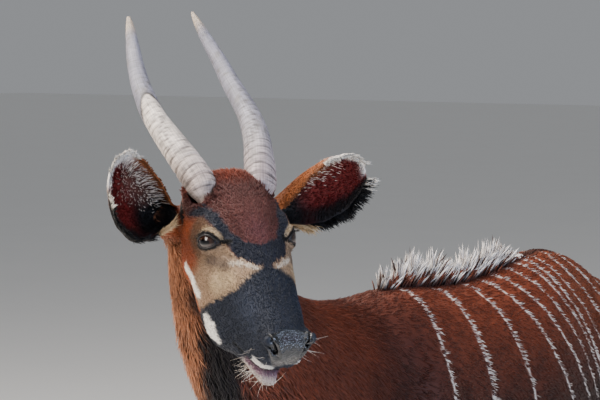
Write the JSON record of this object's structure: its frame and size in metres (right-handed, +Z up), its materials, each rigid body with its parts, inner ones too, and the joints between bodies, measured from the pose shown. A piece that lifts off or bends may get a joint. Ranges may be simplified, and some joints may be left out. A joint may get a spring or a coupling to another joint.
{
  "type": "bongo antelope",
  "caption": "Life-size standing striped forest antelope with spiral horns, large cupped ears, an upright crest along the back and its head turned to its left.",
  "frame": {"origin": "on the floor, under the middle of the whole animal's bounding box", "axes": "+Z up, the body faces -Y, the animal's left side is towards +X"},
  "size_m": [0.5626, 1.8712, 1.6989],
  "materials": {
    "coat": "short glossy chestnut fur with thin white stripes",
    "face_coat": "very short fur, charcoal muzzle, maroon forehead, tan cheeks and white marks",
    "ear_coat": "short fur with fringed edges over thin gristle",
    "tail_hair": "short fur ending in a tuft of long dark hair",
    "horn_sheath": "ringed, fibrous horn worn pale at the tips",
    "hoof_horn": "dark smooth hoof horn",
    "eye": "wet dark brown eye"
  },
  "bodies": {
    "root": {"head": "face_coat", "neck": "coat", "torso": "coat", "tail": "tail_hair", "leg_front_left": "coat", "leg_front_right": "coat", "leg_hind_left": "coat", "leg_hind_right": "coat", "ear_left": "ear_coat", "ear_right": "ear_coat", "eye_left": "eye", "eye_right": "eye", "horn_left": "horn_sheath", "horn_right": "horn_sheath", "hoof_front_left_inner": "hoof_horn", "hoof_front_left_outer": "hoof_horn", "hoof_front_right_inner": "hoof_horn", "hoof_front_right_outer": "hoof_horn", "hoof_hind_left_inner": "hoof_horn", "hoof_hind_left_outer": "hoof_horn", "hoof_hind_right_inner": "hoof_horn", "hoof_hind_right_outer": "hoof_horn"}
  },
  "joints": []
}
